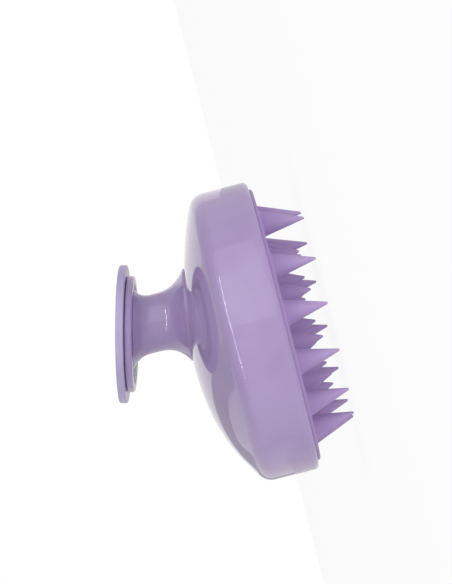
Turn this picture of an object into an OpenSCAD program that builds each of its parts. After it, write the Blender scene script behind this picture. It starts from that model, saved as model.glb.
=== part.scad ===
// Hand-held scalp massage brush: a shallow round head, a waisted knob handle and a soft pad of cones.
// Millimetres. +Z points up along the head's axis, teeth down; the origin is the centre of the plane
// that the longest tooth tips stand on. The handle leans its disc towards +X.

/* [Head] */
// Outer diameter of the head
head_d = 85; // [78:1:96]
// Height of the dome's top above the front rim
dome_h = 27.6; // [26:0.1:32]
// Radius of the dome's sphere
dome_r = 84; // [70:0.1:110]
// Radius of the shoulder between dome and side wall
shoulder_r = 5; // [4:0.1:7]
// Radius of the rounded front edge
rim_round = 1.5; // [0.5:0.1:1.9]
// Wall thickness of the head shell
wall = 2.2; // [2:0.1:3]

/* [Handle] */
// Distance from the head's axis to the handle's axis
handle_offset = 9.8; // [6:0.1:11]
// Horizontal radius of the handle's waist
waist_r = 8.3; // [7.8:0.1:9.5]
// Extra radius where the handle meets the dome
foot_flare = 4.9; // [3:0.1:6]
// Extra radius where the handle meets its flange
top_flare = 2.4; // [1.5:0.1:4]
// Lean of the flange and cap towards +X, in degrees
lean = 14.4; // [8:0.1:18]
// Diameter of the flange under the cap
flange_d = 33.5; // [30:0.5:36]
// Thickness of the flange
flange_t = 2; // [1.8:0.1:3]
// Diameter of the cap disc
cap_d = 39.8; // [36:0.1:44]
// Thickness of the cap disc
cap_t = 2.2; // [1.8:0.1:3]

/* [Soft pad and teeth] */
// Length of the longest teeth beyond the front rim
tooth_reach = 13.2; // [11:0.1:18]
// How far the pad's face stands in front of the rim
pad_proud = 1; // [0.6:0.1:2]
// Diameter of a tooth where it leaves the pad
tooth_d = 7.6; // [6:0.1:8.4]
// Radius of a tooth's rounded tip
tip_r = 0.4; // [0.3:0.1:1]
// Number of teeth in the outer ring
outer_count = 13; // [10:1:14]
// Angle between outer teeth in the three wide gaps, which are side by side
wide_gap = 34.8; // [28:0.2:36]
// Number of teeth in the middle ring
middle_count = 9; // [6:1:9]
// Number of teeth in the inner ring
inner_count = 4; // [3:1:4]
// How far the tooth pattern is turned from the side that the cap leans to
pad_turn = -15; // [-180:1:180]

/* [Hidden] */
head_r = head_d / 2;
rim_z = tooth_reach;

// The dome's sphere and the shoulder's arc keep their centres for the inner skin as well.
dome_cz = rim_z + dome_h - dome_r;
shoulder_cr = head_r - shoulder_r;
shoulder_cz = dome_cz + sqrt(pow(dome_r - shoulder_r, 2) - pow(shoulder_cr, 2));
shoulder_a = atan2(shoulder_cz - dome_cz, shoulder_cr);

// Heights of the pad's layers and of the backing plate behind it
pad_gap = 0.2;
pad_r = head_r - wall - pad_gap;
pad_t = 2;
face_z = rim_z - pad_proud;
plate_z = face_z + pad_t;
plate_t = 2.5;
plate_r = pad_r - 2.2;
plate_back = plate_z + plate_t;
plate_fit = 0.1;
lip_t = 1.5;
lip_grip = 2.2;
rib_h = 2;
rib_t = 1.2;
rib_inner = 6;
rib_outer = 33;
rib_count = 12;

// Screws that hold the plate to four bosses inside the head
boss_ring = 26;
boss_r = 3.2;
boss_count = 4;
boss_turn = 45;
plate_screw_r = 1.3;
plate_screw_head_r = 2.6;
plate_screw_head_t = 1.5;
plate_screw_l = 10;
screw_clear = 0.05;
pocket_clear = 0.3;

// Screws that hold the handle to the dome from inside
stem_screw_r = 1.5;
stem_screw_head_r = 2.8;
stem_screw_head_t = 2;
stem_screw_l = 12;
stem_screw_gap = 5.6;
stem_seat_z = rim_z + 21.5;
stem_seat_r = 4;
recess_w = 0.8;
recess_l = 3;
recess_t = 0.9;

// Handle: its foot sits on the dome and its top ring lies in the flange's underside.
foot_z = rim_z + 26;
stem_h = 15.6;
waist_u = 10;
foot_lean = 8.5;
flare_power = 3.1;
stem_start = -1.2;
stem_rings = 15;
stem_sides = 36;
cap_face_x = handle_offset - 0.6;
cap_face_z = rim_z + 46.1;
cap_gap = 0.15;
cap_edge = 0.4;
flange_edge = 0.8;
land_inner = 7;
land_outer = 14;
spigot_r = 4.5;
spigot_l = 4.5;
socket_clear = 0.05;
socket_l = 5;
seal_r = 0.6;
seal_ring_r = spigot_r + seal_r;
groove_t = 1.3;
groove_r = spigot_r + 2 * seal_r + 0.1;
core_r = 4;
core_z = rim_z + 34.5;
core_h = 6;
ring_groove_r = 14.5;
ring_groove_w = 0.8;
ring_groove_t = 0.4;

// Teeth: each ring's base radius and height of its tips above the outer tips
outer_ring = 32;
middle_ring = 20.8;
inner_ring = 9.3;
tip_pull = 0.957;
outer_tip = 0;
middle_tip = 3.3;
inner_tip = 5.2;
wide_gaps = 3;
narrow_gap = (360 - wide_gaps * wide_gap) / (outer_count - wide_gaps);
tooth_root = 1;

lilac = [0.69, 0.62, 0.78];
pale_lilac = [0.74, 0.71, 0.86];
soft_purple = [0.62, 0.5, 0.76];
steel = [0.72, 0.72, 0.74];
natural = [0.9, 0.89, 0.87];

$fn = 96;
eps = 0.01;
big = 200;

function numbered(name, count) = [for (i = [1:count]) str(name, i)];

// ---- shared shapes ----

// The head's filled form, shrunk by inset, from the given height up
module head_form(inset, from_z) {
    reach = dome_r + 2;
    rotate_extrude() {
        intersection() {
            translate([0, dome_cz]) circle(dome_r - inset, $fn = 360);
            polygon([
                [0, from_z],
                [shoulder_cr, from_z],
                [shoulder_cr, shoulder_cz],
                [reach * cos(shoulder_a), dome_cz + reach * sin(shoulder_a)],
                [0, dome_cz + reach]
            ]);
        }
        intersection() {
            translate([shoulder_cr, shoulder_cz]) circle(shoulder_r - inset);
            translate([shoulder_cr, shoulder_cz]) square(shoulder_r);
        }
        translate([shoulder_cr - eps, from_z])
            square([shoulder_r - inset + eps, shoulder_cz - from_z]);
    }
}

// A round plate standing on z = 0 with both edges rounded
module soft_disc(r, t, edge) {
    rotate_extrude() {
        square([r - edge, t]);
        translate([r - edge, edge]) square([edge, t - 2 * edge]);
        for (z = [edge, t - edge]) translate([r - edge, z]) circle(edge, $fn = 32);
    }
}

// A flat ring standing on z = 0
module flat_ring(outer, inner, t) {
    rotate_extrude() translate([inner, 0]) square([outer - inner, t]);
}

// A pan-head screw along +Z: the head's underside is at z = 0 and the shank goes up
module pan_screw(r, l, head_r, head_t) {
    point = r;
    difference() {
        union() {
            cylinder(h = l - point, r = r);
            translate([0, 0, l - point]) cylinder(h = point, r1 = r, r2 = 0.3 * r);
            translate([0, 0, -head_t]) cylinder(h = head_t, r1 = 0.85 * head_r, r2 = head_r);
        }
        for (a = [0, 90])
            rotate([0, 0, a])
                translate([-recess_l / 2, -recess_w / 2, -head_t - eps])
                    cube([recess_l, recess_w, recess_t]);
    }
}

// Moves a shape into the leaning frame of the cap: its z = 0 is the cap's outer face
module on_cap_frame() {
    translate([cap_face_x, 0, cap_face_z]) rotate([0, lean, 0]) children();
}

module at_bosses() {
    for (i = [0:boss_count - 1])
        rotate([0, 0, boss_turn + i * 360 / boss_count]) translate([boss_ring, 0, 0]) children();
}

module at_stem_screws() {
    for (side = [-1, 1])
        translate([handle_offset, side * stem_screw_gap, stem_seat_z]) children();
}

// ---- handle loft ----

function flare(u) =
    let (part = u < waist_u ? (waist_u - max(u, 0)) / waist_u : (u - waist_u) / (stem_h - waist_u))
    waist_r + (u < waist_u ? foot_flare : top_flare) * pow(part, flare_power);

function ring_lean(u) = foot_lean + (lean - foot_lean) * max(0, u) / stem_h;

// One ring of the handle's skin at height u above its foot, tipped down towards +X
function stem_ring(u) = [
    for (i = [0:stem_sides - 1])
        let (a = 360 * i / stem_sides, x = flare(u) * cos(a))
        [handle_offset + x, flare(u) * sin(a), foot_z + u - x * tan(ring_lean(u))]
];

module stem_skin() {
    step = (stem_h - stem_start) / (stem_rings - 1);
    n = stem_sides;
    points = [for (k = [0:stem_rings - 1]) each stem_ring(stem_start + k * step)];
    sides = [
        for (k = [0:stem_rings - 2], i = [0:n - 1])
            let (a = k * n + i, b = k * n + (i + 1) % n)
            each [[a, a + n, b], [b, a + n, b + n]]
    ];
    foot = [[for (i = [0:n - 1]) i]];
    top = [[for (i = [n - 1:-1:0]) (stem_rings - 1) * n + i]];
    polyhedron(points, concat(sides, foot, top), convexity = 4);
}

// ---- pieces ----

module head_shell() {
    color(lilac)
    difference() {
        union() {
            difference() {
                union() {
                    head_form(0, rim_z + rim_round);
                    translate([0, 0, rim_z]) cylinder(h = 2 * rim_round, r = head_r - rim_round);
                    translate([0, 0, rim_z + rim_round])
                        rotate_extrude() translate([head_r - rim_round, 0]) circle(rim_round, $fn = 48);
                }
                head_form(wall, rim_z - 1);
            }
            intersection() {
                head_form(wall / 2, rim_z);
                union() {
                    at_bosses() translate([0, 0, plate_back]) cylinder(h = dome_h, r = boss_r, $fn = 48);
                    at_stem_screws() cylinder(h = dome_h, r = stem_seat_r, $fn = 48);
                }
            }
        }
        at_bosses()
            translate([0, 0, plate_back - eps]) cylinder(h = plate_screw_l, r = plate_screw_r + screw_clear);
        at_stem_screws()
            translate([0, 0, -eps]) cylinder(h = stem_screw_l, r = stem_screw_r + 2 * screw_clear);
    }
}

module handle_stem() {
    color(lilac)
    difference() {
        union() {
            stem_skin();
            on_cap_frame()
                translate([0, 0, -cap_t - cap_gap - flange_t])
                    soft_disc(flange_d / 2, flange_t, flange_edge);
        }
        translate([0, 0, dome_cz]) sphere(dome_r, $fn = 360);
        on_cap_frame()
            translate([0, 0, -cap_t - cap_gap]) {
                translate([0, 0, -socket_l]) cylinder(h = socket_l + eps, r = spigot_r + socket_clear);
                translate([0, 0, -groove_t]) cylinder(h = groove_t + eps, r = groove_r);
            }
        translate([handle_offset, 0, core_z]) cylinder(h = core_h, r = core_r);
        at_stem_screws() cylinder(h = stem_screw_l + 1, r = stem_screw_r + screw_clear);
    }
}

module handle_cap() {
    color(pale_lilac)
    on_cap_frame()
    difference() {
        union() {
            translate([0, 0, -cap_t]) soft_disc(cap_d / 2, cap_t, cap_edge);
            translate([0, 0, -cap_t - cap_gap]) flat_ring(land_outer, land_inner, cap_gap + eps);
            translate([0, 0, -cap_t - spigot_l]) cylinder(h = spigot_l + eps, r = spigot_r);
        }
        translate([0, 0, -ring_groove_t])
            flat_ring(ring_groove_r + ring_groove_w / 2, ring_groove_r - ring_groove_w / 2, 1);
    }
}

module cap_seal_ring() {
    color(natural)
    on_cap_frame()
        translate([0, 0, -cap_t - cap_gap - groove_t + seal_r])
            rotate_extrude() translate([seal_ring_r, 0]) circle(seal_r, $fn = 32);
}

module stem_screws() {
    color(steel)
    at_stem_screws()
        pan_screw(stem_screw_r, stem_screw_l, stem_screw_head_r, stem_screw_head_t);
}

module backing_plate() {
    pocket_t = plate_screw_head_t + 0.1;
    color(natural)
    difference() {
        union() {
            translate([0, 0, plate_z]) cylinder(h = plate_t, r = plate_r - plate_fit);
            intersection() {
                for (i = [0:rib_count - 1])
                    rotate([0, 0, i * 360 / rib_count])
                        translate([rib_inner, -rib_t / 2, plate_back - eps])
                            cube([rib_outer - rib_inner, rib_t, rib_h]);
                head_form(wall + 1, plate_back - 1);
            }
            translate([0, 0, plate_back - eps]) flat_ring(rib_inner + rib_t, rib_inner, rib_h);
        }
        at_bosses() {
            translate([0, 0, plate_z - 1]) cylinder(h = plate_t + 2, r = plate_screw_r + 2 * screw_clear);
            translate([0, 0, plate_z - 1]) cylinder(h = 1 + pocket_t, r = plate_screw_head_r + pocket_clear);
            translate([0, 0, plate_back]) cylinder(h = rib_h + 1, r = boss_r + pocket_clear);
        }
    }
}

module plate_screws() {
    color(steel)
    at_bosses()
        translate([0, 0, plate_z + plate_screw_head_t + 0.1])
            pan_screw(plate_screw_r, plate_screw_l - 1, plate_screw_head_r, plate_screw_head_t);
}

module bristle_pad() {
    edge = 0.8;
    skirt_h = plate_t + lip_t;
    color(soft_purple)
    union() {
        translate([0, 0, face_z + edge]) cylinder(h = pad_t - edge, r = pad_r);
        translate([0, 0, face_z]) cylinder(h = pad_t, r = pad_r - edge);
        translate([0, 0, face_z + edge])
            rotate_extrude() translate([pad_r - edge, 0]) circle(edge, $fn = 32);
        translate([0, 0, plate_z - eps]) flat_ring(pad_r, plate_r, skirt_h);
        translate([0, 0, plate_back]) flat_ring(pad_r, plate_r - lip_grip, lip_t);
    }
}

// One cone from the pad's face to a rounded tip; base_ring and tip_z place it, turn is its angle
module tooth(base_ring, tip_z, turn) {
    tip_ring = base_ring * tip_pull;
    rise = face_z - tip_z - tip_r;
    tilt = atan2(base_ring - tip_ring, rise);
    axis_l = rise / cos(tilt);
    base_r = tooth_d / 2;
    slope = atan2(base_r, axis_l) - asin(tip_r / norm([base_r, axis_l]));
    end_l = axis_l + tip_r * sin(slope);
    color(soft_purple)
    rotate([0, 0, turn])
    intersection() {
        translate([base_ring, 0, face_z])
            rotate([0, 180 + tilt, 0]) {
                translate([0, 0, -tooth_root])
                    cylinder(
                        h = end_l + tooth_root,
                        r1 = base_r + tooth_root * tan(slope),
                        r2 = tip_r * cos(slope)
                    );
                translate([0, 0, axis_l]) sphere(tip_r, $fn = 48);
            }
        translate([-big / 2, -big / 2, face_z - big]) cube(big);
    }
}

// Angle of an outer tooth: half a wide gap, another one, the narrow gaps and the last wide gap
function outer_turn(i) =
    let (narrow_gaps = min(max(i - 2, 0), outer_count - wide_gaps))
    let (more_wide_gaps = (i > 1 ? 1 : 0) + (i == outer_count ? 1 : 0))
    (0.5 + more_wide_gaps) * wide_gap + narrow_gaps * narrow_gap;

module outer_tooth(i) tooth(outer_ring, outer_tip, pad_turn + outer_turn(i));

module middle_tooth(i) tooth(middle_ring, middle_tip, pad_turn + (i - 0.5) * 360 / middle_count);

module inner_tooth(i) tooth(inner_ring, inner_tip, pad_turn + (i - 0.5) * 360 / inner_count);

head_shell();
handle_stem();
handle_cap();
cap_seal_ring();
stem_screws();
backing_plate();
plate_screws();
bristle_pad();
for (i = [1:outer_count])
    outer_tooth(i);
for (i = [1:middle_count])
    middle_tooth(i);
for (i = [1:inner_count])
    inner_tooth(i);
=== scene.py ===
"""Looks of a hand-held scalp massage brush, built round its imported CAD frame."""

import logging
import math
from dataclasses import dataclass, field
from enum import Enum

import bmesh
import bpy
from mathutils import Matrix, Vector


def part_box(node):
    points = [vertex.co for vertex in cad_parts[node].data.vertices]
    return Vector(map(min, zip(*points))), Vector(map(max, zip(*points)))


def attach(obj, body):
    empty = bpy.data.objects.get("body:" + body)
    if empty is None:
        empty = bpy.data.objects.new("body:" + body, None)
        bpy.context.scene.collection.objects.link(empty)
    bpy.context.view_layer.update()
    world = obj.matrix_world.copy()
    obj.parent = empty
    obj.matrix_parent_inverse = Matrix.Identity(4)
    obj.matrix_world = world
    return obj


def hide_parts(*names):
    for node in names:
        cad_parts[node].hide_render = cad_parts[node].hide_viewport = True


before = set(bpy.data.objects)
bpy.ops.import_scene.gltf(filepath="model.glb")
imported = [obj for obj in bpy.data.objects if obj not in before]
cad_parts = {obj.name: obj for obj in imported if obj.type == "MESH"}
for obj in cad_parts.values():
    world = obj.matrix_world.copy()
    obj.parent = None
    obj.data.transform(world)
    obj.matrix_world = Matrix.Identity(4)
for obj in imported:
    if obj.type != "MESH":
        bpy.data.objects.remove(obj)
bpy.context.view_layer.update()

LOG = logging.getLogger("massage_brush")
MM = 0.001
ROOT_BODY = "root"
SHARP_ANGLE = 40.0
SAME_POINT = 1e-7
POLE_MERGE = 2e-6
LOFT_MERGE = 1e-6
NOISE_ROUGHNESS = 0.55

Colour = tuple[float, float, float]
Triple = tuple[float, float, float]
Point2 = tuple[float, float]


def srgb(red: int, green: int, blue: int) -> Colour:
    """Turn a display colour into the linear one that shaders take.

    Args:
        red: Red from 0 to 255.
        green: Green from 0 to 255.
        blue: Blue from 0 to 255.

    Returns:
        The same colour in linear light.
    """
    def linear(part: int) -> float:
        """Linear value of one channel."""
        share = part / 255
        return share / 12.92 if share <= 0.04045 else ((share + 0.055) / 1.055) ** 2.4

    return linear(red), linear(green), linear(blue)


# ---------------------------------------------------------------- shader maths


class Signal:
    """A value socket that takes part in Python arithmetic; each operator adds one Math node."""

    def __init__(self, graph: "Graph", socket: bpy.types.NodeSocket) -> None:
        """Wrap one output socket of the graph."""
        self.graph = graph
        self.socket = socket

    def _math(self, operation: str, first: object, second: object) -> "Signal":
        """Add a Math node.

        Args:
            operation: The node's operation.
            first: First operand, a signal or a number.
            second: Second operand, a signal or a number.

        Returns:
            The node's result.
        """
        made = self.graph.node("ShaderNodeMath", {"operation": operation}, {0: first, 1: second})
        return Signal(self.graph, made.outputs[0])

    def __add__(self, other: object) -> "Signal":
        """Sum of this and another value."""
        return self._math("ADD", self, other)

    __radd__ = __add__

    def __sub__(self, other: object) -> "Signal":
        """This value less another."""
        return self._math("SUBTRACT", self, other)

    def __rsub__(self, other: object) -> "Signal":
        """Another value less this one."""
        return self._math("SUBTRACT", other, self)

    def __mul__(self, other: object) -> "Signal":
        """Product of this and another value."""
        return self._math("MULTIPLY", self, other)

    __rmul__ = __mul__

    def step(self, low: float, high: float) -> "Signal":
        """Rise smoothly from 0 to 1 as this value goes from low to high.

        Args:
            low: Value at which the result leaves 0.
            high: Value at which the result reaches 1.

        Returns:
            The smooth step.
        """
        made = self.graph.node(
            "ShaderNodeMapRange",
            {"interpolation_type": "SMOOTHSTEP"},
            {"Value": self, "From Min": low, "From Max": high},
        )
        return Signal(self.graph, made.outputs["Result"])


class Graph:
    """Builds the node tree of one material or world."""

    def __init__(self, tree: bpy.types.NodeTree) -> None:
        """Empty the tree and start building in it."""
        self.tree = tree
        self.tree.nodes.clear()

    def node(self, kind: str, settings: dict[str, object], sockets: dict[object, object]) -> bpy.types.Node:
        """Add any node.

        Args:
            kind: The node's type name.
            settings: Attributes of the node, set before its sockets.
            sockets: Values or links of its inputs, by name or number.

        Returns:
            The new node.
        """
        made = self.tree.nodes.new(kind)
        for name, value in settings.items():
            setattr(made, name, value)
        for name, value in sockets.items():
            self._feed(made.inputs[name], value)
        return made

    def _feed(self, target: bpy.types.NodeSocket, value: object) -> None:
        """Link a signal or socket to an input, or set the input's own value.

        Args:
            target: The input socket.
            value: A signal, a socket, a colour or a number.
        """
        if isinstance(value, Signal):
            self.tree.links.new(value.socket, target)
        elif isinstance(value, bpy.types.NodeSocket):
            self.tree.links.new(value, target)
        elif isinstance(value, tuple) and len(value) == 3 and target.type == "RGBA":
            target.default_value = (*value, 1.0)
        else:
            target.default_value = value

    def object_space(self) -> bpy.types.NodeSocket:
        """Position on the object, in metres."""
        return self.node("ShaderNodeTexCoord", {}, {}).outputs["Object"]

    def noise(self, size_mm: float, detail: float, stretch: Triple) -> Signal:
        """Noise over the object.

        Args:
            size_mm: Size of its patches in millimetres.
            detail: Octaves of finer detail.
            stretch: Frequency along each axis, as a share of the plain one.

        Returns:
            The noise, from 0 to 1.
        """
        mapped = self.node(
            "ShaderNodeMapping",
            {"vector_type": "POINT"},
            {"Vector": self.object_space(), "Scale": stretch},
        )
        made = self.node(
            "ShaderNodeTexNoise",
            {},
            {
                "Vector": mapped.outputs[0],
                "Scale": 1 / (size_mm * MM),
                "Detail": detail,
                "Roughness": NOISE_ROUGHNESS,
            },
        )
        return Signal(self, made.outputs["Fac"])

    def blend(self, share: object, low: object, high: object) -> bpy.types.NodeSocket:
        """Mix two colours.

        Args:
            share: How much of the second colour, from 0 to 1.
            low: First colour or colour socket.
            high: Second colour or colour socket.

        Returns:
            The mixed colour's socket.
        """
        made = self.node("ShaderNodeMix", {"data_type": "RGBA"}, {0: share, 6: low, 7: high})
        return made.outputs[2]

    def bump(self, height: Signal, depth_mm: float) -> bpy.types.NodeSocket:
        """Relief from a height signal.

        Args:
            height: Height from 0 to 1.
            depth_mm: What a height of 1 stands for, in millimetres.

        Returns:
            The bumped normal's socket.
        """
        relief = {"Strength": 1.0, "Distance": depth_mm * MM, "Height": height}
        return self.node("ShaderNodeBump", {}, relief).outputs["Normal"]

    def level(self, value: float) -> Signal:
        """A plain number as a signal."""
        made = self.node("ShaderNodeValue", {}, {})
        made.outputs[0].default_value = value
        return Signal(self, made.outputs[0])

    def seen_by_camera(self) -> Signal:
        """1 where the camera sees the surface directly, and 0 in its light and reflections."""
        return Signal(self, self.node("ShaderNodeLightPath", {}, {}).outputs["Is Camera Ray"])

    def height_above(self) -> Signal:
        """Height on the object above its lowest tips, in metres."""
        parts = self.node("ShaderNodeSeparateXYZ", {}, {"Vector": self.object_space()})
        return Signal(self, parts.outputs["Z"])


def new_material(name: str) -> tuple[bpy.types.Material, Graph]:
    """Start an empty node material.

    Args:
        name: The material's name.

    Returns:
        The material and the graph that builds it.
    """
    made = bpy.data.materials.new(name)
    made.use_nodes = True
    return made, Graph(made.node_tree)


def finish_surface(graph: Graph, sockets: dict[object, object]) -> None:
    """End a material in one Principled shader with the given inputs."""
    surface = graph.node("ShaderNodeBsdfPrincipled", {}, sockets)
    graph.node("ShaderNodeOutputMaterial", {}, {"Surface": surface.outputs[0]})


# -------------------------------------------------------------------- finishes


@dataclass(frozen=True)
class Pattern:
    """Noise of one size over a piece, used as it is or hardened into patches."""

    size_mm: float
    detail: float
    low: float = 0.0
    high: float = 0.0
    stretch: Triple = (1.0, 1.0, 1.0)

    def draw(self, graph: Graph) -> Signal:
        """The pattern in a graph, from 0 to 1; patches rise between the levels low and high."""
        plain = graph.noise(self.size_mm, self.detail, self.stretch)
        return plain.step(self.low, self.high) if self.high > self.low else plain


@dataclass(frozen=True)
class GlossPlastic:
    """Moulded plastic with a polished skin: faint flow clouding, waviness, specks and handling marks."""

    name: str
    colour: Colour
    deep_colour: Colour
    roughness: float = 0.004
    coat: float = 0.6
    clouds: Pattern = Pattern(size_mm=18.0, detail=2.0, low=0.35, high=0.65)
    handling: Pattern = Pattern(size_mm=9.0, detail=4.0, low=0.55, high=0.75)
    handling_dullness: float = 0.02
    specks: Pattern = Pattern(size_mm=0.6, detail=1.0, low=0.8, high=0.84)
    speck_tint: float = 0.25
    speck_dullness: float = 0.2
    speck_relief: float = 0.5
    waves: Pattern = Pattern(size_mm=4.0, detail=0.0, stretch=(1.0, 1.0, 0.12))
    wave_mm: float = 0.0006
    ior: float = 1.52
    glow: float = 0.08
    glow_reach: Triple = (0.8, 0.6, 1.0)
    glow_mm: float = 1.5

    def build(self) -> bpy.types.Material:
        """Make the material."""
        material, graph = new_material(self.name)
        clouds = self.clouds.draw(graph)
        handled = self.handling.draw(graph)
        specks = self.specks.draw(graph)
        waves = self.waves.draw(graph)
        colour = graph.blend(clouds, self.deep_colour, self.colour)
        finish_surface(graph, {
            "Base Color": graph.blend(specks * self.speck_tint, colour, self.colour),
            "Roughness": handled * self.handling_dullness + self.roughness + specks * self.speck_dullness,
            "Normal": graph.bump(waves + specks * self.speck_relief, self.wave_mm),
            "IOR": self.ior,
            "Coat Weight": self.coat,
            "Coat Roughness": 0.0,
            "Subsurface Weight": self.glow,
            "Subsurface Radius": self.glow_reach,
            "Subsurface Scale": self.glow_mm * MM,
        })
        return material


@dataclass(frozen=True)
class SoftSilicone:
    """Satin silicone rubber: even colour, with a painted glow that turns it paler towards the tips to stand
    in for light through the thin silicone, and a fine dull skin.
    """

    name: str
    colour: Colour
    # tip_colour is the pale colour of the painted glow at the tips; clouds and dust tint towards it too
    tip_colour: Colour
    tip_height_mm: float = 11.0
    # share of the painted glow at the tips, which stands in for light through the thin silicone
    tip_glow_paint: float = 0.6
    roughness: float = 0.42
    clouds: Pattern = Pattern(size_mm=6.0, detail=3.0)
    cloud_tint: float = 0.15
    cloud_dullness: float = 0.1
    dust: Pattern = Pattern(size_mm=1.1, detail=3.0, low=0.62, high=0.8)
    dust_tint: float = 0.08
    dust_dullness: float = 0.12
    grain: Pattern = Pattern(size_mm=0.25, detail=2.0)
    grain_mm: float = 0.012
    ior: float = 1.42
    glow: float = 0.12
    glow_reach: Triple = (1.0, 0.6, 1.2)
    glow_mm: float = 1.2
    sheen: float = 0.08
    sheen_roughness: float = 0.4

    def build(self) -> bpy.types.Material:
        """Make the material."""
        material, graph = new_material(self.name)
        toward_tip = 1 - graph.height_above().step(0.0, self.tip_height_mm * MM)
        clouds = self.clouds.draw(graph)
        grain = self.grain.draw(graph)
        dust = self.dust.draw(graph)
        # painted glow: paler towards the tips for light through the thin silicone, plus a random cloud tint
        glow_and_clouds = toward_tip * self.tip_glow_paint + clouds * self.cloud_tint
        colour = graph.blend(glow_and_clouds, self.colour, self.tip_colour)
        finish_surface(graph, {
            "Base Color": graph.blend(dust * self.dust_tint, colour, self.tip_colour),
            "Roughness": clouds * self.cloud_dullness + dust * self.dust_dullness + self.roughness,
            "Normal": graph.bump(grain, self.grain_mm),
            "IOR": self.ior,
            "Subsurface Weight": self.glow,
            "Subsurface Radius": self.glow_reach,
            "Subsurface Scale": self.glow_mm * MM,
            "Sheen Weight": self.sheen,
            "Sheen Roughness": self.sheen_roughness,
        })
        return material


@dataclass(frozen=True)
class MattePlastic:
    """Unpolished moulded plastic with a faint spark-eroded texture."""

    name: str
    colour: Colour
    shade: Colour
    roughness: float = 0.42
    clouds: Pattern = Pattern(size_mm=12.0, detail=2.0)
    grain: Pattern = Pattern(size_mm=0.35, detail=2.0)
    grain_dullness: float = 0.15
    grain_mm: float = 0.02
    ior: float = 1.48

    def build(self) -> bpy.types.Material:
        """Make the material."""
        material, graph = new_material(self.name)
        clouds = self.clouds.draw(graph)
        grain = self.grain.draw(graph)
        finish_surface(graph, {
            "Base Color": graph.blend(clouds, self.shade, self.colour),
            "Roughness": grain * self.grain_dullness + self.roughness,
            "Normal": graph.bump(grain, self.grain_mm),
            "IOR": self.ior,
        })
        return material


@dataclass(frozen=True)
class TurnedSteel:
    """Stainless steel with fine turning marks and a faint stain."""

    name: str
    colour: Colour = (0.6, 0.6, 0.62)
    stain_colour: Colour = (0.45, 0.44, 0.43)
    stain: Pattern = Pattern(size_mm=3.0, detail=2.0)
    stain_tint: float = 0.3
    roughness: float = 0.22
    marks: Pattern = Pattern(size_mm=0.3, detail=2.0, stretch=(0.1, 0.1, 3.0))
    mark_dullness: float = 0.2
    mark_mm: float = 0.01

    def build(self) -> bpy.types.Material:
        """Make the material."""
        material, graph = new_material(self.name)
        marks = self.marks.draw(graph)
        stain = self.stain.draw(graph)
        finish_surface(graph, {
            "Base Color": graph.blend(stain * self.stain_tint, self.colour, self.stain_colour),
            "Metallic": 1.0,
            "Roughness": marks * self.mark_dullness + self.roughness,
            "Normal": graph.bump(marks, self.mark_mm),
        })
        return material


@dataclass(frozen=True)
class StudioFloor:
    """Pale matt table top that stays bright behind the object and still takes a soft shadow."""

    name: str = "pale_table"
    brightness: float = 0.86
    lift: float = 0.66
    glow: float = 0.25
    grain: Pattern = Pattern(size_mm=40.0, detail=3.0)
    grain_tint: float = 0.02
    white: Colour = (1.0, 1.0, 1.0)

    def build(self) -> bpy.types.Material:
        """Make the material."""
        material, graph = new_material(self.name)
        tone = (self.brightness, self.brightness, self.brightness)
        colour = graph.blend(self.grain.draw(graph) * self.grain_tint, tone, self.white)
        paper = graph.node(
            "ShaderNodeBsdfPrincipled",
            {},
            {"Base Color": colour, "Roughness": 1.0, "Specular IOR Level": 0.0},
        )
        light = graph.node("ShaderNodeEmission", {}, {"Color": self.white, "Strength": 1.0})
        seen = graph.seen_by_camera()
        mixed = graph.node(
            "ShaderNodeMixShader",
            {},
            {0: seen * self.lift + self.glow, 1: paper.outputs[0], 2: light.outputs[0]},
        )
        graph.node("ShaderNodeOutputMaterial", {}, {"Surface": mixed.outputs[0]})
        return material


class Finish(Enum):
    """The finishes that the brush's pieces are made in."""

    SHELL = GlossPlastic("polished_lilac", srgb(168, 147, 191), srgb(163, 141, 187))
    CAP = GlossPlastic(
        "polished_pale_lilac", srgb(174, 163, 200), srgb(168, 157, 195), roughness=0.16, coat=0.0
    )
    # the second colour is the painted glow at the tooth tips, also the cloud and dust tint
    SILICONE = SoftSilicone("purple_silicone", srgb(164, 137, 190), srgb(188, 167, 207))
    PLATE = MattePlastic("natural_plastic", srgb(236, 234, 228), srgb(226, 223, 214))
    SEAL = SoftSilicone("grey_seal", srgb(196, 194, 190), srgb(206, 204, 200))
    STEEL = TurnedSteel("stainless_steel")

    def material(self) -> bpy.types.Material:
        """The finish's material, made the first time that it is asked for."""
        if self not in MADE_FINISHES:
            MADE_FINISHES[self] = self.value.build()
        return MADE_FINISHES[self]


MADE_FINISHES: dict[Finish, bpy.types.Material] = {}


# ------------------------------------------------------------------ mesh tools


def arc(centre: Point2, radius: float, start: float, end: float, count: int) -> list[Point2]:
    """Points along a round stretch of an outline.

    Args:
        centre: Centre of the arc, as distance from the axis and height.
        radius: Radius of the arc.
        start: Angle of the first point in degrees, from the outward direction.
        end: Angle of the last point in degrees.
        count: How many steps the arc has.

    Returns:
        The points, both ends included.
    """
    steps = [math.radians(start + (end - start) * i / count) for i in range(count + 1)]
    return [(centre[0] + radius * math.cos(a), centre[1] + radius * math.sin(a)) for a in steps]


def line(start: Point2, end: Point2, count: int) -> list[Point2]:
    """Points along a straight stretch of an outline, both ends included."""
    shares = [i / count for i in range(count + 1)]
    return [(start[0] + (end[0] - start[0]) * s, start[1] + (end[1] - start[1]) * s) for s in shares]


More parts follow.
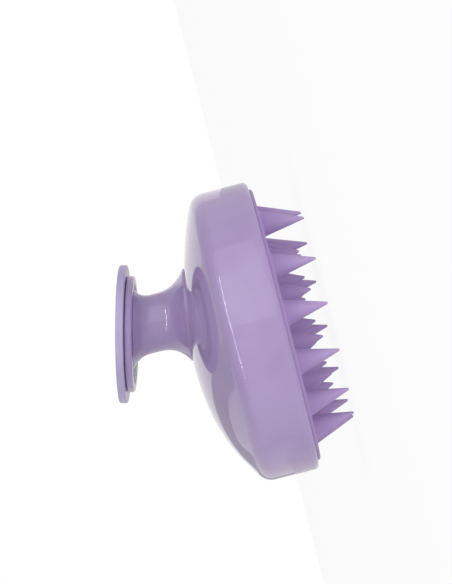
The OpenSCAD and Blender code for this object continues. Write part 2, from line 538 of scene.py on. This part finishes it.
def revolve(outline: list[Point2], steps: int) -> bmesh.types.BMesh:
    """Spin an outline once round the Z axis.

    Args:
        outline: Points as distance from the axis and height, in metres.
        steps: How many steps the full turn has.

    Returns:
        The closed mesh.
    """
    mesh = bmesh.new()
    points = [mesh.verts.new((r, 0.0, z)) for r, z in outline]
    for first, second in zip(points, points[1:]):
        if (first.co - second.co).length > SAME_POINT:
            mesh.edges.new((first, second))
    bmesh.ops.remove_doubles(mesh, verts=mesh.verts[:], dist=SAME_POINT)
    bmesh.ops.spin(
        mesh, geom=mesh.verts[:] + mesh.edges[:], cent=(0, 0, 0), axis=(0, 0, 1),
        angle=math.tau, steps=steps, use_merge=True,
    )
    bmesh.ops.remove_doubles(mesh, verts=mesh.verts[:], dist=POLE_MERGE)
    bmesh.ops.recalc_face_normals(mesh, faces=mesh.faces[:])
    return mesh


def ring(mesh: bmesh.types.BMesh, radius: float, steps: int, place: Matrix) -> list[bmesh.types.BMEdge]:
    """Add one open circle of edges.

    Args:
        mesh: The mesh to add to.
        radius: Radius of the circle, in metres.
        steps: How many corners it has.
        place: Where it goes, with any lean or shear.

    Returns:
        The circle's edges.
    """
    made = bmesh.ops.create_circle(mesh, cap_ends=False, radius=radius, segments=steps, matrix=place)
    corners = set(made["verts"])
    return [edge for edge in mesh.edges if set(edge.verts) <= corners]


def bridge(mesh: bmesh.types.BMesh, rings: list[list[bmesh.types.BMEdge]]) -> None:
    """Skin a row of rings, each to the next."""
    for first, second in zip(rings, rings[1:]):
        bmesh.ops.bridge_loops(mesh, edges=first + second)


def as_piece(
    mesh: bmesh.types.BMesh, name: str, finish: Finish, stands_for: list[str]
) -> bpy.types.Object:
    """Turn a bmesh into a finished piece of the brush.

    Args:
        mesh: The mesh, which is freed.
        name: The piece's name.
        finish: The finish that it is dressed in.
        stands_for: CAD nodes that it replaces.

    Returns:
        The object, riding on the brush's body.
    """
    data = bpy.data.meshes.new(name)
    mesh.to_mesh(data)
    mesh.free()
    data.shade_smooth()
    data.set_sharp_from_angle(angle=math.radians(SHARP_ANGLE))
    piece = bpy.data.objects.new(name, data)
    bpy.context.scene.collection.objects.link(piece)
    data.materials.append(finish.material())
    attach(piece, ROOT_BODY)
    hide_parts(*stands_for)
    return piece


def dress_node(node: str, finish: Finish) -> None:
    """Give a CAD node that keeps its shape its finish."""
    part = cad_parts[node]
    for slot in part.material_slots:
        slot.material = finish.material()


# -------------------------------------------------------------- sub-assemblies


@dataclass
class Head:
    """The shallow round shell: a dome that leans a little to one side, a shoulder, a wall and a rim."""

    steps: int = 192
    dome_steps: int = 48
    shoulder_steps: int = 18
    wall_steps: int = 10
    rim_steps: int = 12
    lip_steps: int = 5
    dome_r: float = 84.0 * MM
    lean_from: float = 18.4 * MM
    lean_ease: float = 2.0 * MM
    lean_rate: float = 0.6
    settle_steps: int = 12
    shoulder_r: float = 5.0 * MM
    rim_round: float = 1.5 * MM
    lip_round: float = 0.3 * MM
    wall: float = 2.2 * MM
    radius: float = field(init=False)
    rim_z: float = field(init=False)
    top_z: float = field(init=False)

    def __post_init__(self) -> None:
        """Read the shell's outer sizes from the frame."""
        low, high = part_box("head_shell")
        self.radius = min(high.x, high.y, -low.x, -low.y)
        self.rim_z = low.z
        self.top_z = high.z

    @property
    def dome_centre(self) -> Point2:
        """Centre of the dome's sphere."""
        return 0.0, self.top_z - self.dome_r

    @property
    def shoulder_centre(self) -> Point2:
        """Centre of the shoulder's arc."""
        across = self.radius - self.shoulder_r
        rise = math.sqrt((self.dome_r - self.shoulder_r) ** 2 - across ** 2)
        return across, self.dome_centre[1] + rise

    @property
    def shoulder_angle(self) -> float:
        """Angle at which the shoulder meets the dome, in degrees above level."""
        across, height = self.shoulder_centre
        return math.degrees(math.atan2(height - self.dome_centre[1], across))

    def lean_shift(self, height: float) -> float:
        """How far the shell is drawn over towards -X at a height.

        Args:
            height: Height above the tooth tips, in metres.

        Returns:
            The shift, in metres, which starts smoothly above the side wall.
        """
        above = height - self.rim_z - self.lean_from
        ease = self.lean_ease
        if abs(above) < ease:
            return self.lean_rate * (above + ease) ** 2 / (4 * ease)
        return self.lean_rate * max(0.0, above)

    def dome_height(self, x: float, y: float) -> float:
        """Height of the leaning dome's surface over a point.

        Args:
            x: Distance along X, in metres.
            y: Distance along Y, in metres.

        Returns:
            The height above the tooth tips, in metres.
        """
        height = self.top_z
        for _ in range(self.settle_steps):
            moved = x + self.lean_shift(height)
            height = self.dome_centre[1] + math.sqrt(max(0.0, self.dome_r ** 2 - moved * moved - y * y))
        return height

    def skin(self, inset: float, from_z: float) -> list[Point2]:
        """Outline of the dome, shoulder and wall.

        Args:
            inset: How far inside the outer skin it lies.
            from_z: Height at which the wall ends.

        Returns:
            Points from the axis outwards and down.
        """
        turn = self.shoulder_angle
        radius = self.radius - inset
        return (
            arc(self.dome_centre, self.dome_r - inset, 90.0, turn, self.dome_steps)
            + arc(self.shoulder_centre, self.shoulder_r - inset, turn, 0.0, self.shoulder_steps)
            + line((radius, self.shoulder_centre[1]), (radius, from_z), self.wall_steps)
        )

    def build(self) -> bpy.types.Object:
        """Make the shell."""
        rim_centre = (self.radius - self.rim_round, self.rim_z + self.rim_round)
        inner = self.radius - self.wall
        lip_centre = (inner + self.lip_round, self.rim_z + self.lip_round)
        outline = (
            self.skin(0.0, rim_centre[1])
            + arc(rim_centre, self.rim_round, 0.0, -90.0, self.rim_steps)
            + arc(lip_centre, self.lip_round, -90.0, -180.0, self.lip_steps)
            + list(reversed(self.skin(self.wall, lip_centre[1])))
        )
        mesh = revolve(outline, self.steps)
        for corner in mesh.verts:
            corner.co.x -= self.lean_shift(corner.co.z)
        return as_piece(mesh, "head_shell_skin", Finish.SHELL, ["head_shell"])


@dataclass
class Handle:
    """The waisted knob with its flange: a loft from the dome up to a leaning plate."""

    head: Head
    steps: int = 128
    under_steps: int = 3
    edge_steps: int = 8
    brow_steps: int = 6
    land_steps: int = 4
    offset: float = 9.8 * MM
    waist_r: float = 8.3 * MM
    foot_flare: float = 4.9 * MM
    top_flare: float = 2.4 * MM
    flare_power: float = 3.1
    foot_above_rim: float = 26.0 * MM
    height: float = 15.6 * MM
    waist_height: float = 10.0 * MM
    foot_lean: float = 8.5
    lean: float = 14.4
    flange_r: float = 16.75 * MM
    flange_t: float = 2.0 * MM
    flange_edge: float = 0.8 * MM
    flange_top_edge: float = 0.35 * MM
    flange_under_w: float = 2.6 * MM
    cap_t: float = 2.2 * MM
    cap_gap: float = 0.15 * MM
    cap_above_rim: float = 46.1 * MM
    cap_back: float = 0.6 * MM
    socket_r: float = 4.55 * MM
    socket_depth: float = 5.0 * MM
    groove_r: float = 5.8 * MM
    groove_depth: float = 1.3 * MM
    foot_start: float = -1.6 * MM
    foot_sink: float = 0.35 * MM
    foot_floor_r: float = 9.0 * MM
    loft_rings: int = 44

    @property
    def cap_frame(self) -> Matrix:
        """Places a shape on the cap's outer face, leaning as the cap does."""
        centre = Vector((self.offset - self.cap_back, 0.0, self.head.rim_z + self.cap_above_rim))
        return Matrix.Translation(centre) @ Matrix.Rotation(math.radians(self.lean), 4, "Y")

    def half_width(self, height: float) -> float:
        """Horizontal radius of the handle.

        Args:
            height: Height above its foot, in metres.

        Returns:
            The radius there, in metres: least at the waist, and flared above and below.
        """
        below = height < self.waist_height
        reach = self.waist_height if below else self.height - self.waist_height
        flare = self.foot_flare if below else self.top_flare
        share = abs(max(0.0, height) - self.waist_height) / reach
        return self.waist_r + flare * share ** self.flare_power

    def loft_place(self, height: float) -> Matrix:
        """Where a ring of the loft goes.

        Args:
            height: Height above the foot, in metres.

        Returns:
            The ring's place, sheared down towards +X, more so near the flange.
        """
        share = max(0.0, height) / self.height
        tip = math.radians(self.foot_lean + (self.lean - self.foot_lean) * share)
        shear = Matrix.Identity(4)
        shear[2][0] = -math.tan(tip)
        foot_z = self.head.rim_z + self.foot_above_rim
        return Matrix.Translation((self.offset, 0.0, foot_z + height)) @ shear

    def seat_on_dome(self, mesh: bmesh.types.BMesh) -> None:
        """Lift what the loft sinks deep into the dome to just under the dome's surface.

        Args:
            mesh: The mesh of the loft's rings.
        """
        for corner in mesh.verts:
            floor = self.head.dome_height(corner.co.x, corner.co.y) - self.foot_sink
            corner.co.z = max(corner.co.z, floor)

    def build(self) -> bpy.types.Object:
        """Make the knob and its flange as one skin."""
        mesh = bmesh.new()
        rings = [ring(mesh, self.foot_floor_r, self.steps, self.loft_place(self.foot_start))]
        for i in range(self.loft_rings + 1):
            height = self.foot_start + (self.height - self.foot_start) * i / self.loft_rings
            rings.append(ring(mesh, self.half_width(height), self.steps, self.loft_place(height)))
        self.seat_on_dome(mesh)
        rings += self.flange_rings(mesh)
        bridge(mesh, rings)
        bmesh.ops.holes_fill(mesh, edges=mesh.edges[:], sides=self.steps)
        bmesh.ops.remove_doubles(mesh, verts=mesh.verts[:], dist=LOFT_MERGE)
        bmesh.ops.recalc_face_normals(mesh, faces=mesh.faces[:])
        return as_piece(mesh, "handle_stem_skin", Finish.SHELL, ["handle_stem"])

    def flange_rings(self, mesh: bmesh.types.BMesh) -> list[list[bmesh.types.BMEdge]]:
        """Rings of the flange, from its underside round its edge to the socket's floor.

        Args:
            mesh: The mesh to add the rings to.

        Returns:
            The rings in order.
        """
        top = -self.cap_t - self.cap_gap
        under = top - self.flange_t
        edge = self.flange_edge
        brow = self.flange_top_edge
        centre = self.flange_r - edge
        outline = (
            line((centre - self.flange_under_w, under), (centre, under), self.under_steps)[:-1]
            + arc((centre, under + edge), edge, -90.0, 0.0, self.edge_steps)
            + arc((self.flange_r - brow, top - brow), brow, 0.0, 90.0, self.brow_steps)
            + line((self.flange_r - brow, top), (self.groove_r, top), self.land_steps)[1:]
            + [(self.groove_r, top - self.groove_depth), (self.socket_r, top - self.groove_depth)]
            + [(self.socket_r, top - self.socket_depth)]
        )
        places = [self.cap_frame @ Matrix.Translation((0.0, 0.0, z)) for _, z in outline]
        return [ring(mesh, r, self.steps, place) for (r, _), place in zip(outline, places)]


@dataclass
class Cap:
    """The paler disc that closes the knob, with a shallow ring groove in its face."""

    handle: Handle
    steps: int = 160
    flat_steps: int = 4
    groove_steps: int = 12
    edge_steps: int = 6
    side_steps: int = 3
    centre_r: float = 2.0 * MM
    radius: float = 19.9 * MM
    edge: float = 0.4 * MM
    land_inner: float = 7.0 * MM
    land_outer: float = 14.0 * MM
    groove_r: float = 14.5 * MM
    groove_half: float = 0.4 * MM
    spigot_r: float = 4.5 * MM
    spigot_l: float = 4.5 * MM

    def build(self) -> bpy.types.Object:
        """Make the cap."""
        thick = self.handle.cap_t
        land = -thick - self.handle.cap_gap
        rim = self.radius - self.edge
        outline = (
            [(0.0, 0.0)]
            + line((self.centre_r, 0.0), (self.groove_r - self.groove_half, 0.0), self.flat_steps)
            + arc((self.groove_r, 0.0), self.groove_half, 180.0, 360.0, self.groove_steps)
            + line((self.groove_r + self.groove_half, 0.0), (rim, 0.0), self.flat_steps)
            + arc((rim, -self.edge), self.edge, 90.0, 0.0, self.edge_steps)
            + line((self.radius, -self.edge), (self.radius, self.edge - thick), self.side_steps)
            + arc((rim, self.edge - thick), self.edge, 0.0, -90.0, self.edge_steps)
            + line((rim, -thick), (self.land_outer, -thick), self.side_steps)
            + [(self.land_outer, land), (self.land_inner, land), (self.land_inner, -thick)]
            + [(self.spigot_r, -thick), (self.spigot_r, -thick - self.spigot_l)]
            + [(0.0, -thick - self.spigot_l)]
        )
        mesh = revolve(outline, self.steps)
        mesh.transform(self.handle.cap_frame)
        return as_piece(mesh, "handle_cap_disc", Finish.CAP, ["handle_cap"])


@dataclass
class SoftPad:
    """The silicone pad: a flat face with a rounded edge, and a skirt that grips the backing plate."""

    steps: int = 160
    face_steps: int = 8
    bead_steps: int = 8
    border_steps: int = 2
    edge_steps: int = 8
    side_steps: int = 4
    centre_r: float = 3.0 * MM
    edge: float = 0.8 * MM
    thick: float = 2.0 * MM
    skirt_t: float = 2.2 * MM
    lip_t: float = 1.5 * MM
    bead_r: float = 37.2 * MM
    bead: float = 0.25 * MM
    radius: float = field(init=False)
    face_z: float = field(init=False)
    back_z: float = field(init=False)

    def __post_init__(self) -> None:
        """Read the pad's outer sizes from the frame."""
        low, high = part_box("bristle_pad")
        self.radius = (high.x - low.x) / 2
        self.face_z = low.z
        self.back_z = high.z

    def build(self) -> bpy.types.Object:
        """Make the pad."""
        rim = self.radius - self.edge
        inner = self.radius - self.skirt_t
        under_lip = self.back_z - self.lip_t
        outline = (
            [(0.0, self.face_z)]
            + line((self.centre_r, self.face_z), (self.bead_r - self.bead, self.face_z), self.face_steps)
            + arc((self.bead_r, self.face_z), self.bead, 180.0, 0.0, self.bead_steps)
            + line((self.bead_r + self.bead, self.face_z), (rim, self.face_z), self.border_steps)
            + arc((rim, self.face_z + self.edge), self.edge, -90.0, 0.0, self.edge_steps)
            + line((self.radius, self.face_z + self.edge), (self.radius, self.back_z), self.side_steps)
            + [(inner - self.skirt_t, self.back_z), (inner - self.skirt_t, under_lip)]
            + [(inner, under_lip), (inner, self.face_z + self.thick), (0.0, self.face_z + self.thick)]
        )
        mesh = revolve(outline, self.steps)
        return as_piece(mesh, "bristle_pad_skin", Finish.SILICONE, ["bristle_pad"])


@dataclass
class ToothRing:
    """One ring of soft cones that stand on the pad, where the frame has them, and lean in a little."""

    pad: SoftPad
    name: str
    steps: int = 48
    root_steps: int = 8
    side_steps: int = 10
    tip_steps: int = 10
    tip_r: float = 0.4 * MM
    root_fillet: float = 1.0 * MM
    tip_pull: float = 0.957
    sink: float = 0.03 * MM

    def outline(self, base_r: float, length: float) -> list[Point2]:
        """Outline of one upright tooth, from its fillet on the pad to its rounded tip.

        Args:
            base_r: Radius of the cone where it meets the pad.
            length: Height of the tooth's tip above the pad.

        Returns:
            Points from the pad outwards and up to the axis.
        """
        centre = length - self.tip_r
        slope = math.atan2(base_r, centre) - math.asin(self.tip_r / math.hypot(base_r, centre))
        lean = math.degrees(slope)
        fillet = self.root_fillet
        out = base_r + fillet / math.cos(slope) - fillet * math.tan(slope)
        root = arc((out, fillet), fillet, -90.0, -180.0 + lean, self.root_steps)
        tip = arc((0.0, centre), self.tip_r, lean, 90.0, self.tip_steps)
        return [(out, -self.sink)] + root + line(root[-1], tip[0], self.side_steps)[1:-1] + tip

    def build_tooth(self, node: str) -> bpy.types.Object:
        """Make one tooth.

        Args:
            node: The CAD node that it stands for, whose box gives its place and size.

        Returns:
            The finished tooth.
        """
        low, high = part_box(node)
        foot = Vector(((low.x + high.x) / 2, (low.y + high.y) / 2, self.pad.face_z))
        length = self.pad.face_z - low.z
        mesh = revolve(self.outline((high.x - low.x) / 2, length), self.steps)
        bmesh.ops.holes_fill(mesh, edges=mesh.edges[:], sides=self.steps)
        bmesh.ops.recalc_face_normals(mesh, faces=mesh.faces[:])
        pull = Matrix.Identity(4)
        pull[0][2] = -foot.xy.length * (1 - self.tip_pull) / (length - self.tip_r)
        turn = Matrix.Rotation(math.atan2(foot.y, foot.x), 4, "Z")
        flip = Matrix.Diagonal((1.0, -1.0, -1.0, 1.0))
        mesh.transform(Matrix.Translation(foot) @ turn @ flip @ pull)
        return as_piece(mesh, f"{node}_soft", Finish.SILICONE, [node])

    def build(self) -> list[bpy.types.Object]:
        """Make every tooth of the ring."""
        count = sum(node.startswith(f"{self.name}_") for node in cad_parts)
        return [self.build_tooth(f"{self.name}_{i + 1}") for i in range(count)]


@dataclass
class Inside:
    """The hidden pieces, which keep their CAD shape and get their own finishes."""

    finishes: dict[str, Finish] = field(default_factory=lambda: {
        "backing_plate": Finish.PLATE,
        "plate_screws": Finish.STEEL,
        "stem_screws": Finish.STEEL,
        "cap_seal_ring": Finish.SEAL,
    })

    def dress(self) -> None:
        """Dress each hidden piece."""
        for node, finish in self.finishes.items():
            dress_node(node, finish)
            LOG.info("dressed %s as %s", node, finish.name)


# ---------------------------------------------------------------------- studio


@dataclass
class Viewpoint:
    """The camera: level with the brush, square to its axis, and rolled so that the teeth point right."""

    turn: float = 9.0
    roll: float = 14.4
    distance: float = 0.95
    aim_across: float = 13.25 * MM
    aim_height: float = 26.7 * MM
    lens: float = 203.6
    sensor: float = 36.0
    nearest: float = 0.01

    @property
    def back(self) -> Vector:
        """Direction from the brush to the camera."""
        angle = math.radians(self.turn)
        return Vector((-math.sin(angle), -math.cos(angle), 0.0))

    @property
    def across(self) -> Vector:
        """Level direction that is square to the view, on the handle's side."""
        return Vector((0.0, 0.0, 1.0)).cross(self.back)

    @property
    def up(self) -> Vector:
        """The picture's up direction."""
        angle = math.radians(self.roll)
        return self.across * math.cos(angle) - Vector((0.0, 0.0, math.sin(angle)))

    @property
    def right(self) -> Vector:
        """The picture's right direction."""
        return self.up.cross(self.back)

    @property
    def aim(self) -> Vector:
        """Point that the camera looks at."""
        return self.across * self.aim_across + Vector((0.0, 0.0, self.aim_height))

    def place(self, right: float, up: float, back: float) -> Vector:
        """A point given in the picture's own directions from the point of aim, in metres."""
        return self.aim + self.right * right + self.up * up + self.back * back

    def build(self) -> bpy.types.Object:
        """Make the camera and set it as the scene's."""
        data = bpy.data.cameras.new("camera")
        data.lens = self.lens
        data.sensor_width = self.sensor
        data.clip_start = self.nearest
        camera = bpy.data.objects.new("camera", data)
        turn = Matrix((self.right, self.up, self.back)).transposed().to_4x4()
        camera.matrix_world = Matrix.Translation(self.place(0.0, 0.0, self.distance)) @ turn
        bpy.context.scene.collection.objects.link(camera)
        bpy.context.scene.camera = camera
        return camera


@dataclass
class SoftBox:
    """One rectangular studio light, placed in the picture's directions and aimed at the brush."""

    name: str
    right: float
    up: float
    back: float
    width: float
    height: float
    power: float

    def build(self, view: Viewpoint) -> None:
        """Make the light.

        Args:
            view: The viewpoint whose directions place it.
        """
        data = bpy.data.lights.new(self.name, "AREA")
        data.shape = "RECTANGLE"
        data.size = self.width
        data.size_y = self.height
        data.energy = self.power
        lamp = bpy.data.objects.new(self.name, data)
        spot = view.place(self.right, self.up, self.back)
        lamp.location = spot
        lamp.rotation_euler = (view.aim - spot).to_track_quat("-Z", "Y").to_euler()
        bpy.context.scene.collection.objects.link(lamp)


@dataclass(frozen=True)
class Zone:
    """A part of the surroundings with its own brightness, round one of the picture's directions.

    It fades in as a ray's cosine with that direction goes from low to high.
    """

    low: float
    high: float
    brightness: float
    right: float = 0.0
    up: float = 0.0
    back: float = 0.0
    behind_brush: bool = False


@dataclass
class Studio:
    """White surroundings, a pale table and soft lights."""

    view: Viewpoint
    table_size: float = 6.0
    room: float = 0.72
    behind_low: float = 0.0
    behind_high: float = 0.3
    tooth_side: Zone = Zone(low=0.1, high=0.8, brightness=0.1, right=1.0)
    handle_side: Zone = Zone(low=0.0, high=0.6, brightness=0.45, right=-1.0)
    camera_side: Zone = Zone(low=0.62, high=0.64, brightness=0.8, back=1.0)
    past_handle: Zone = Zone(low=0.40, high=0.50, brightness=0.62, back=-1.0)
    far_wall: Zone = Zone(low=0.745, high=0.765, brightness=0.92, back=-1.0)
    skirting: Zone = Zone(low=0.21, high=0.23, brightness=0.42, up=-1.0, behind_brush=True)
    below: Zone = Zone(low=0.36, high=0.38, brightness=0.8, up=-1.0, behind_brush=True)
    lights: tuple[SoftBox, ...] = (
        SoftBox("top_box", right=-0.1, up=0.45, back=0.55, width=0.9, height=1.5, power=2.0),
        SoftBox("front_box", right=0.45, up=0.0, back=0.7, width=0.5, height=0.5, power=1.8),
        SoftBox("left_strip", right=-0.45, up=0.0, back=0.7, width=1.3, height=0.015, power=1.2),
        SoftBox("rim_lamp", right=0.42, up=0.42, back=0.6, width=0.03, height=0.03, power=0.3),
    )

    @property
    def zones(self) -> tuple[Zone, ...]:
        """The zones of the surroundings, each laid over the ones before it."""
        return (
            self.tooth_side, self.handle_side, self.camera_side,
            self.past_handle, self.far_wall, self.skirting, self.below,
        )

    def toward(self, graph: Graph, right: float, up: float, back: float) -> Signal:
        """How far a ray points in one of the picture's directions.

        Args:
            graph: The surroundings' graph.
            right: Share of the direction to the picture's right.
            up: Share of it up the picture.
            back: Share of it towards the camera.

        Returns:
            The cosine between the ray and the direction.
        """
        way = self.view.right * right + self.view.up * up + self.view.back * back
        ray = graph.node("ShaderNodeTexCoord", {}, {}).outputs["Generated"]
        made = graph.node("ShaderNodeVectorMath", {"operation": "DOT_PRODUCT"}, {0: ray, 1: tuple(way)})
        return Signal(graph, made.outputs["Value"])

    def build_world(self) -> None:
        """Make the surroundings: plain white where the camera sees them, and a room in reflections."""
        world = bpy.data.worlds.new("surroundings")
        bpy.context.scene.world = world
        world.use_nodes = True
        graph = Graph(world.node_tree)
        behind = self.toward(graph, 0.0, 0.0, -1.0).step(self.behind_low, self.behind_high)
        lit = graph.level(self.room)
        for zone in self.zones:
            share = self.toward(graph, zone.right, zone.up, zone.back).step(zone.low, zone.high)
            if zone.behind_brush:
                share = share * behind
            lit = lit + share * (zone.brightness - lit)
        seen = graph.seen_by_camera()
        strength = lit * (1 - seen) + seen
        sky = graph.node("ShaderNodeBackground", {}, {"Color": (1.0, 1.0, 1.0), "Strength": strength})
        graph.node("ShaderNodeOutputWorld", {}, {"Surface": sky.outputs[0]})

    def build_table(self) -> None:
        """Make the pale table top that the brush stands on, which lets light from below through."""
        mesh = bmesh.new()
        bmesh.ops.create_grid(mesh, x_segments=1, y_segments=1, size=self.table_size / 2)
        data = bpy.data.meshes.new("table_top")
        mesh.to_mesh(data)
        mesh.free()
        table = bpy.data.objects.new("table_top", data)
        table.visible_shadow = False
        data.materials.append(StudioFloor().build())
        bpy.context.scene.collection.objects.link(table)

    def build(self) -> None:
        """Make the whole studio."""
        self.build_world()
        self.build_table()
        for light in self.lights:
            light.build(self.view)
        bpy.context.scene.view_settings.view_transform = "Standard"


def main() -> None:
    """Build the brush, its studio and the camera."""
    logging.basicConfig(level=logging.INFO, format="%(name)s: %(message)s")
    view = Viewpoint()
    view.build()
    head = Head()
    handle = Handle(head)
    pad = SoftPad()
    rings = [ToothRing(pad, name) for name in ("outer_tooth", "middle_tooth", "inner_tooth")]
    for part in (head, handle, Cap(handle), pad):
        LOG.info("built %s", part.build().name)
    for row in rings:
        LOG.info("built %d of %s", len(row.build()), row.name)
    Inside().dress()
    Studio(view).build()


if __name__ == "__main__":
    main()
